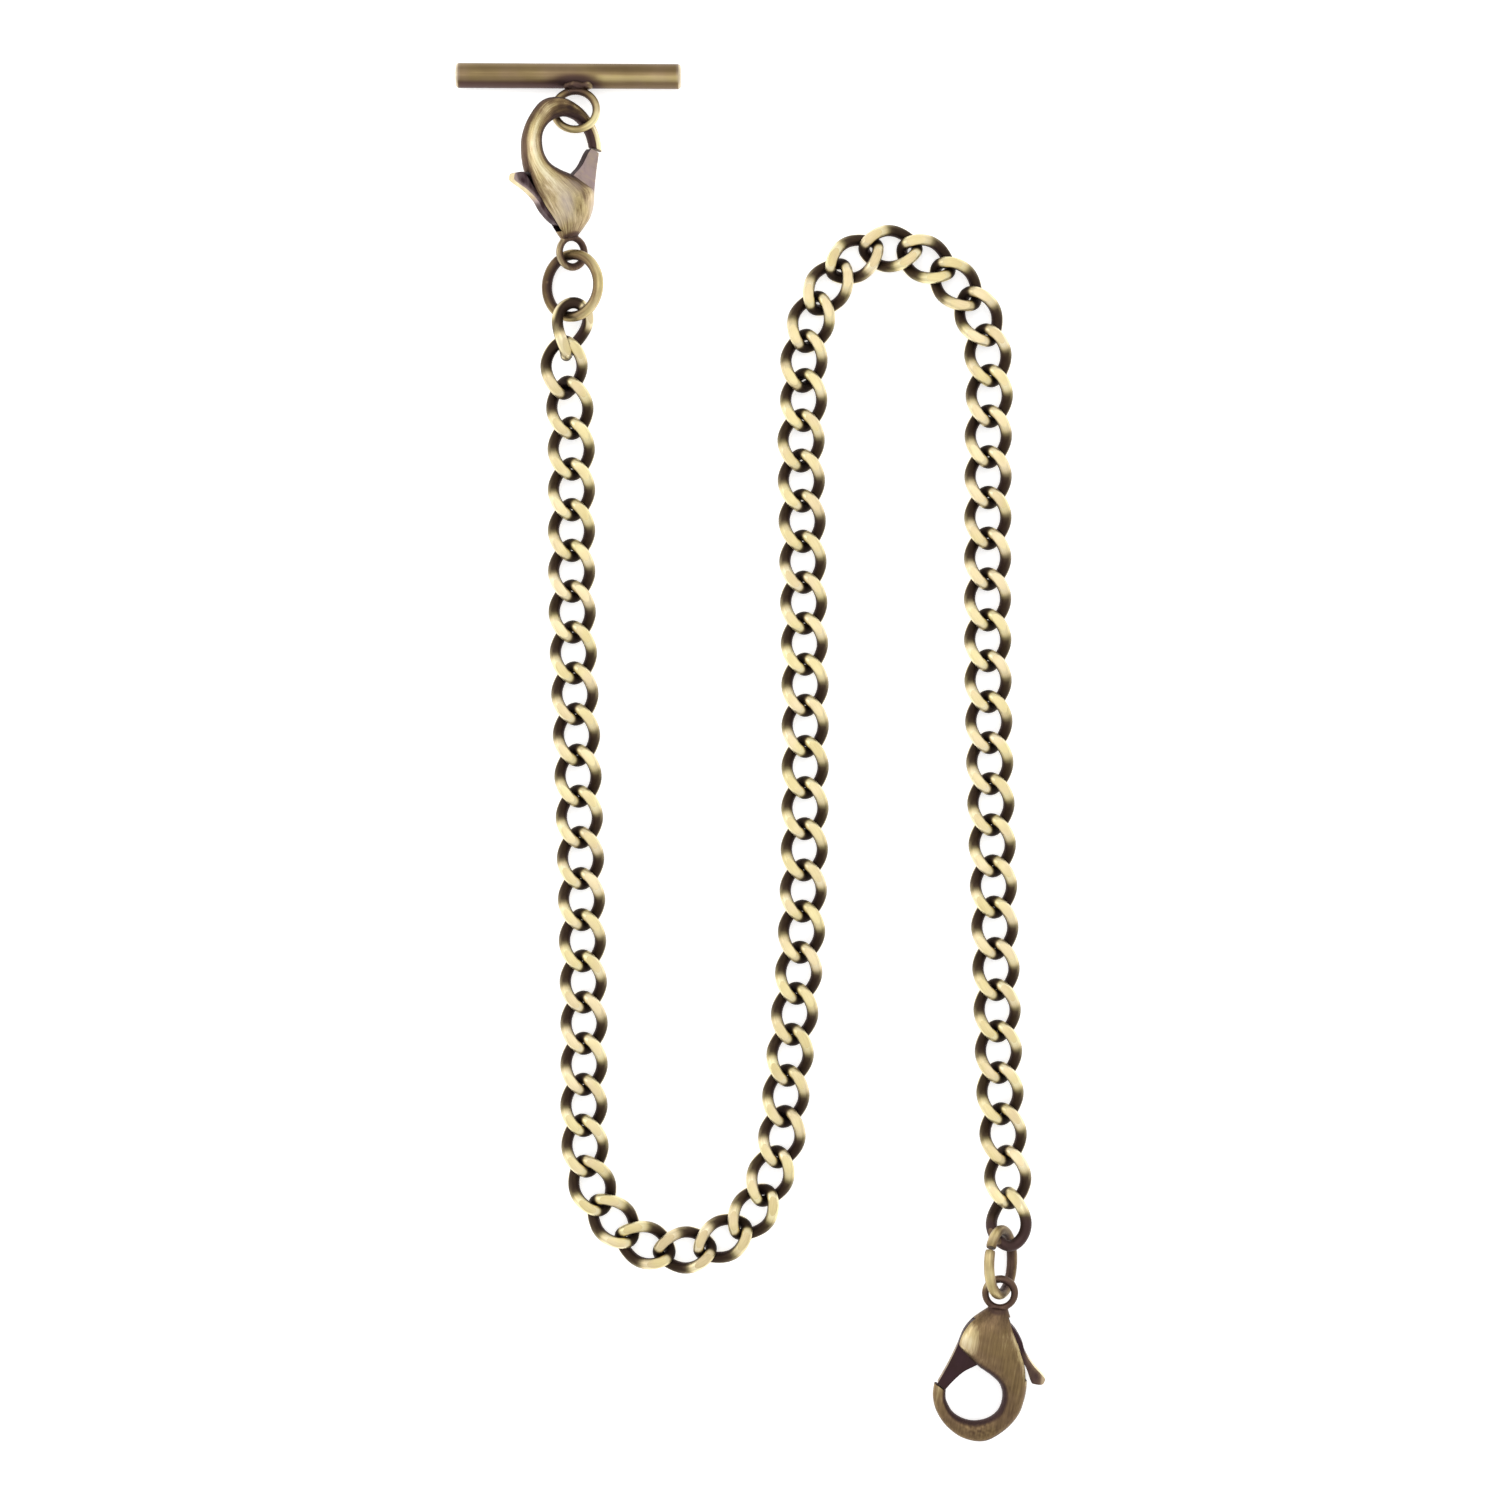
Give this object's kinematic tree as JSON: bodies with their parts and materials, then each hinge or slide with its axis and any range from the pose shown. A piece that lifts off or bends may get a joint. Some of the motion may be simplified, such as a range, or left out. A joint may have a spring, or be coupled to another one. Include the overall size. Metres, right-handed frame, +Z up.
{
  "type": "pocket watch chain",
  "caption": "Antique-brass curb pocket watch chain, about 38 cm long, with a T-bar at one end and a lobster clasp at each, laid out flat in an S.",
  "frame": {"origin": "under the middle of the laid-out chain, on the surface it lies on", "axes": "+Y from the bottom clasp to the T-bar, +Z up from the surface, +X along the T-bar to its right"},
  "size_m": [0.0646, 0.1516, 0.0074],
  "materials": {
    "antique_brass": "antiqued, brushed on the high spots and dark in the hollows",
    "dark_brass": "antiqued, dark",
    "spring_steel": "plain wire"
  },
  "bodies": {
    "t_bar": {"t_bar": "antique_brass", "t_bar_ring": "antique_brass"},
    "top_clasp": {"top_clasp_body": "antique_brass", "top_clasp_pin": "antique_brass", "top_clasp_spring": "spring_steel"},
    "top_clasp_lever": {"top_clasp_lever": "dark_brass"},
    "top_jump_ring": {"top_jump_ring": "antique_brass"},
    "link_01": {"link_01": "antique_brass"},
    "link_02_03": {"link_02_03": "antique_brass"},
    "link_04_05": {"link_04_05": "antique_brass"},
    "link_06_07": {"link_06_07": "antique_brass"},
    "link_08_09": {"link_08_09": "antique_brass"},
    "link_10_11": {"link_10_11": "antique_brass"},
    "link_12_13": {"link_12_13": "antique_brass"},
    "link_14_15": {"link_14_15": "antique_brass"},
    "link_16_17": {"link_16_17": "antique_brass"},
    "link_18_19": {"link_18_19": "antique_brass"},
    "link_20_21": {"link_20_21": "antique_brass"},
    "link_22": {"link_22": "antique_brass"},
    "link_23": {"link_23": "antique_brass"},
    "link_24": {"link_24": "antique_brass"},
    "link_25": {"link_25": "antique_brass"},
    "link_26": {"link_26": "antique_brass"},
    "link_27": {"link_27": "antique_brass"},
    "link_28": {"link_28": "antique_brass"},
    "link_29_30": {"link_29_30": "antique_brass"},
    "link_31_32": {"link_31_32": "antique_brass"},
    "link_33_34": {"link_33_34": "antique_brass"},
    "link_35_36": {"link_35_36": "antique_brass"},
    "link_37_38": {"link_37_38": "antique_brass"},
    "link_39_40": {"link_39_40": "antique_brass"},
    "link_41_42": {"link_41_42": "antique_brass"},
    "link_43_44": {"link_43_44": "antique_brass"},
    "link_45_46": {"link_45_46": "antique_brass"},
    "link_47_48": {"link_47_48": "antique_brass"},
    "link_49": {"link_49": "antique_brass"},
    "link_50": {"link_50": "antique_brass"},
    "link_51": {"link_51": "antique_brass"},
    "link_52": {"link_52": "antique_brass"},
    "link_53": {"link_53": "antique_brass"},
    "link_54": {"link_54": "antique_brass"},
    "link_55": {"link_55": "antique_brass"},
    "link_56": {"link_56": "antique_brass"},
    "link_57_58": {"link_57_58": "antique_brass"},
    "link_59_60": {"link_59_60": "antique_brass"},
    "link_61_62": {"link_61_62": "antique_brass"},
    "link_63_64": {"link_63_64": "antique_brass"},
    "link_65_66": {"link_65_66": "antique_brass"},
    "link_67_68": {"link_67_68": "antique_brass"},
    "link_69_70": {"link_69_70": "antique_brass"},
    "link_71_72": {"link_71_72": "antique_brass"},
    "link_73_74": {"link_73_74": "antique_brass"},
    "link_75_76": {"link_75_76": "antique_brass"},
    "link_77": {"link_77": "antique_brass"},
    "bottom_jump_ring": {"bottom_jump_ring": "antique_brass"},
    "bottom_clasp": {"bottom_clasp_body": "antique_brass", "bottom_clasp_pin": "antique_brass", "bottom_clasp_spring": "spring_steel"},
    "bottom_clasp_lever": {"bottom_clasp_lever": "dark_brass"}
  },
  "joints": [
    {"name": "turn_top_clasp", "type": "hinge", "parent": "t_bar", "child": "top_clasp", "pos_m": [-0.01921, 0.06973, 0.00275], "axis": [0, 0, 1], "range_deg": [-40, 15]},
    {"name": "top_clasp_gate", "type": "hinge", "parent": "top_clasp", "child": "top_clasp_lever", "pos_m": [-0.0196, 0.05911, 0.00258], "axis": [0.5694, -0.0424, 0.821], "range_deg": [0, 20], "stiffness_Nm_per_rad": 0.0025, "springref_deg": -20.05, "deforming": ["top_clasp_spring"]},
    {"name": "turn_top_jump_ring", "type": "hinge", "parent": "top_clasp", "child": "top_jump_ring", "pos_m": [-0.01951, 0.05488, 0.0023], "axis": [0, 0, 1], "range_deg": [-40, 27]},
    {"name": "turn_bottom_clasp", "type": "hinge", "parent": "bottom_jump_ring", "child": "bottom_clasp", "pos_m": [0.0274, -0.05925, 0.0035], "axis": [0, 0, 1], "range_deg": [-40, 40]},
    {"name": "bottom_clasp_gate", "type": "hinge", "parent": "bottom_clasp", "child": "bottom_clasp_lever", "pos_m": [0.02621, -0.06327, 0.00287], "axis": [-0.0234, -0.1477, 0.9888], "range_deg": [0, 20], "stiffness_Nm_per_rad": 0.0025, "springref_deg": -20.05, "deforming": ["bottom_clasp_spring"]},
    {"name": "fold_bottom_jump_ring", "type": "hinge", "parent": "link_77", "child": "bottom_jump_ring", "pos_m": [0.02764, -0.05327, 0.0033], "axis": [1, 0, 0], "range_deg": [-37, 40]},
    {"name": "fold_link_01", "type": "hinge", "parent": "top_jump_ring", "child": "link_01", "pos_m": [-0.01956, 0.04853, 0.0025], "axis": [1, 0, 0], "range_deg": [-30, 25]},
    {"name": "turn_link_02_03", "type": "hinge", "parent": "link_01", "child": "link_02_03", "pos_m": [-0.01999, 0.04432, 0.00221], "axis": [0, 0, 1], "range_deg": [-25, 12]},
    {"name": "fold_link_04_05", "type": "hinge", "parent": "link_02_03", "child": "link_04_05", "pos_m": [-0.0197, 0.03562, 0.00138], "axis": [-0.9994, -0.0335, 0], "range_deg": [-30, 30]},
    {"name": "turn_link_06_07", "type": "hinge", "parent": "link_04_05", "child": "link_06_07", "pos_m": [-0.0196, 0.02668, 0.00118], "axis": [0, 0, -1], "range_deg": [-22, 21]},
    {"name": "fold_link_08_09", "type": "hinge", "parent": "link_06_07", "child": "link_08_09", "pos_m": [-0.01955, 0.01772, 0.00116], "axis": [0.9999, 0.0138, 0], "range_deg": [-30, 30]},
    {"name": "turn_link_10_11", "type": "hinge", "parent": "link_08_09", "child": "link_10_11", "pos_m": [-0.01931, 0.00871, 0.00116], "axis": [0, 0, 1], "range_deg": [-22, 21]},
    {"name": "fold_link_12_13", "type": "hinge", "parent": "link_10_11", "child": "link_12_13", "pos_m": [-0.01897, -0.00032, 0.00116], "axis": [-0.9993, -0.0386, 0], "range_deg": [-30, 30]},
    {"name": "turn_link_14_15", "type": "hinge", "parent": "link_12_13", "child": "link_14_15", "pos_m": [-0.01867, -0.00936, 0.00116], "axis": [0, 0, -1], "range_deg": [-17, 21]},
    {"name": "fold_link_16_17", "type": "hinge", "parent": "link_14_15", "child": "link_16_17", "pos_m": [-0.01844, -0.01843, 0.00116], "axis": [0.9997, 0.0226, 0], "range_deg": [-30, 30]},
    {"name": "turn_link_18_19", "type": "hinge", "parent": "link_16_17", "child": "link_18_19", "pos_m": [-0.01826, -0.02749, 0.00116], "axis": [0, 0, 1], "range_deg": [-21, 12]},
    {"name": "fold_link_20_21", "type": "hinge", "parent": "link_18_19", "child": "link_20_21", "pos_m": [-0.01822, -0.03654, 0.00116], "axis": [-1, 0.0032, 0], "range_deg": [-30, 30]},
    {"name": "turn_link_22", "type": "hinge", "parent": "link_20_21", "child": "link_22", "pos_m": [-0.01773, -0.04546, 0.00116], "axis": [0, 0, -1], "range_deg": [-7, 25]},
    {"name": "fold_link_23", "type": "hinge", "parent": "link_22", "child": "link_23", "pos_m": [-0.01616, -0.04958, 0.00116], "axis": [0.8551, 0.5184, 0], "range_deg": [-30, 30]},
    {"name": "turn_link_24", "type": "hinge", "parent": "link_23", "child": "link_24", "pos_m": [-0.01325, -0.05284, 0.00116], "axis": [0, 0, 1], "range_deg": [-25, 1]},
    {"name": "fold_link_25", "type": "hinge", "parent": "link_24", "child": "link_25", "pos_m": [-0.00932, -0.05447, 0.00116], "axis": [-0.136, -0.9907, 0], "range_deg": [-30, 27]},
    {"name": "turn_link_26", "type": "hinge", "parent": "link_25", "child": "link_26", "pos_m": [-0.00504, -0.05416, 0.00116], "axis": [0, 0, -1], "range_deg": [-1, 25]},
    {"name": "fold_link_27", "type": "hinge", "parent": "link_26", "child": "link_27", "pos_m": [-0.00127, -0.05209, 0.00116], "axis": [-0.6607, 0.7506, 0], "range_deg": [-30, 30]},
    {"name": "turn_link_28", "type": "hinge", "parent": "link_27", "child": "link_28", "pos_m": [0.00134, -0.04863, 0.00116], "axis": [0, 0, 1], "range_deg": [-25, 5]},
    {"name": "fold_link_29_30", "type": "hinge", "parent": "link_28", "child": "link_29_30", "pos_m": [0.00291, -0.04448, 0.00116], "axis": [0.9598, -0.2808, 0], "range_deg": [-30, 30]},
    {"name": "turn_link_31_32", "type": "hinge", "parent": "link_29_30", "child": "link_31_32", "pos_m": [0.00421, -0.03555, 0.00116], "axis": [0, 0, -1], "range_deg": [-12, 21]},
    {"name": "fold_link_33_34", "type": "hinge", "parent": "link_31_32", "child": "link_33_34", "pos_m": [0.00517, -0.02653, 0.00116], "axis": [-0.9952, 0.0979, 0], "range_deg": [-30, 30]},
    {"name": "turn_link_35_36", "type": "hinge", "parent": "link_33_34", "child": "link_35_36", "pos_m": [0.00581, -0.01749, 0.00116], "axis": [0, 0, 1], "range_deg": [-23, 15]},
    {"name": "fold_link_37_38", "type": "hinge", "parent": "link_35_36", "child": "link_37_38", "pos_m": [0.00605, -0.00842, 0.00116], "axis": [0.9999, -0.0132, 0], "range_deg": [-30, 30]},
    {"name": "turn_link_39_40", "type": "hinge", "parent": "link_37_38", "child": "link_39_40", "pos_m": [0.00611, 0.00064, 0.00116], "axis": [0, 0, -1], "range_deg": [-21, 22]},
    {"name": "fold_link_41_42", "type": "hinge", "parent": "link_39_40", "child": "link_41_42", "pos_m": [0.00606, 0.00968, 0.00116], "axis": [-0.9999, -0.0134, 0], "range_deg": [-30, 30]},
    {"name": "turn_link_43_44", "type": "hinge", "parent": "link_41_42", "child": "link_43_44", "pos_m": [0.0059, 0.0187, 0.00116], "axis": [0, 0, 1], "range_deg": [-15, 22]},
    {"name": "fold_link_45_46", "type": "hinge", "parent": "link_43_44", "child": "link_45_46", "pos_m": [0.00573, 0.02766, 0.00116], "axis": [0.9998, 0.0201, 0], "range_deg": [-30, 30]},
    {"name": "turn_link_47_48", "type": "hinge", "parent": "link_45_46", "child": "link_47_48", "pos_m": [0.0058, 0.03651, 0.00116], "axis": [0, 0, -1], "range_deg": [-22, 10]},
    {"name": "fold_link_49", "type": "hinge", "parent": "link_47_48", "child": "link_49", "pos_m": [0.00636, 0.0452, 0.00116], "axis": [-0.9839, 0.1785, 0], "range_deg": [-30, 30]},
    {"name": "turn_link_50", "type": "hinge", "parent": "link_49", "child": "link_50", "pos_m": [0.00769, 0.04929, 0.00116], "axis": [0, 0, 1], "range_deg": [-5, 25]},
    {"name": "fold_link_51", "type": "hinge", "parent": "link_50", "child": "link_51", "pos_m": [0.01008, 0.05276, 0.00116], "axis": [0.7305, -0.6829, 0], "range_deg": [-30, 25]},
    {"name": "turn_link_52", "type": "hinge", "parent": "link_51", "child": "link_52", "pos_m": [0.0135, 0.05484, 0.00116], "axis": [0, 0, -1], "range_deg": [-25, 1]},
    {"name": "fold_link_53", "type": "hinge", "parent": "link_52", "child": "link_53", "pos_m": [0.01746, 0.05479, 0.00116], "axis": [0.2927, 0.9562, 0], "range_deg": [-30, 30]},
    {"name": "turn_link_54", "type": "hinge", "parent": "link_53", "child": "link_54", "pos_m": [0.02107, 0.05282, 0.00116], "axis": [0, 0, 1], "range_deg": [-3, 25]},
    {"name": "fold_link_55", "type": "hinge", "parent": "link_54", "child": "link_55", "pos_m": [0.02396, 0.04967, 0.00116], "axis": [-0.8172, -0.5764, 0], "range_deg": [-30, 30]},
    {"name": "turn_link_56", "type": "hinge", "parent": "link_55", "child": "link_56", "pos_m": [0.02571, 0.04578, 0.00116], "axis": [0, 0, -1], "range_deg": [-25, 5]},
    {"name": "fold_link_57_58", "type": "hinge", "parent": "link_56", "child": "link_57_58", "pos_m": [0.02629, 0.04142, 0.00116], "axis": [0.9995, 0.0314, 0], "range_deg": [-30, 30]},
    {"name": "turn_link_59_60", "type": "hinge", "parent": "link_57_58", "child": "link_59_60", "pos_m": [0.02624, 0.03249, 0.00116], "axis": [0, 0, 1], "range_deg": [-10, 21]},
    {"name": "fold_link_61_62", "type": "hinge", "parent": "link_59_60", "child": "link_61_62", "pos_m": [0.02619, 0.02353, 0.00116], "axis": [-1, 0.0046, 0], "range_deg": [-30, 30]},
    {"name": "turn_link_63_64", "type": "hinge", "parent": "link_61_62", "child": "link_63_64", "pos_m": [0.02618, 0.01456, 0.00116], "axis": [0, 0, -1], "range_deg": [-21, 15]},
    {"name": "fold_link_65_66", "type": "hinge", "parent": "link_63_64", "child": "link_65_66", "pos_m": [0.02627, 0.00557, 0.00116], "axis": [0.9998, 0.0174, 0], "range_deg": [-30, 30]},
    {"name": "turn_link_67_68", "type": "hinge", "parent": "link_65_66", "child": "link_67_68", "pos_m": [0.02648, -0.00346, 0.00116], "axis": [0, 0, 1], "range_deg": [-22, 21]},
    {"name": "fold_link_69_70", "type": "hinge", "parent": "link_67_68", "child": "link_69_70", "pos_m": [0.02676, -0.01251, 0.00116], "axis": [-0.9995, -0.0318, 0], "range_deg": [-30, 30]},
    {"name": "turn_link_71_72", "type": "hinge", "parent": "link_69_70", "child": "link_71_72", "pos_m": [0.02704, -0.02158, 0.00116], "axis": [0, 0, -1], "range_deg": [-22, 21]},
    {"name": "fold_link_73_74", "type": "hinge", "parent": "link_71_72", "child": "link_73_74", "pos_m": [0.0273, -0.03068, 0.00116], "axis": [0.9995, 0.0315, 0], "range_deg": [-30, 30]},
    {"name": "turn_link_75_76", "type": "hinge", "parent": "link_73_74", "child": "link_75_76", "pos_m": [0.02771, -0.03977, 0.00132], "axis": [0, 0, 1], "range_deg": [-23, 20]},
    {"name": "fold_link_77", "type": "hinge", "parent": "link_75_76", "child": "link_77", "pos_m": [0.02836, -0.04891, 0.00242], "axis": [-0.9999, -0.0111, 0], "range_deg": [-30, 30]}
  ]
}
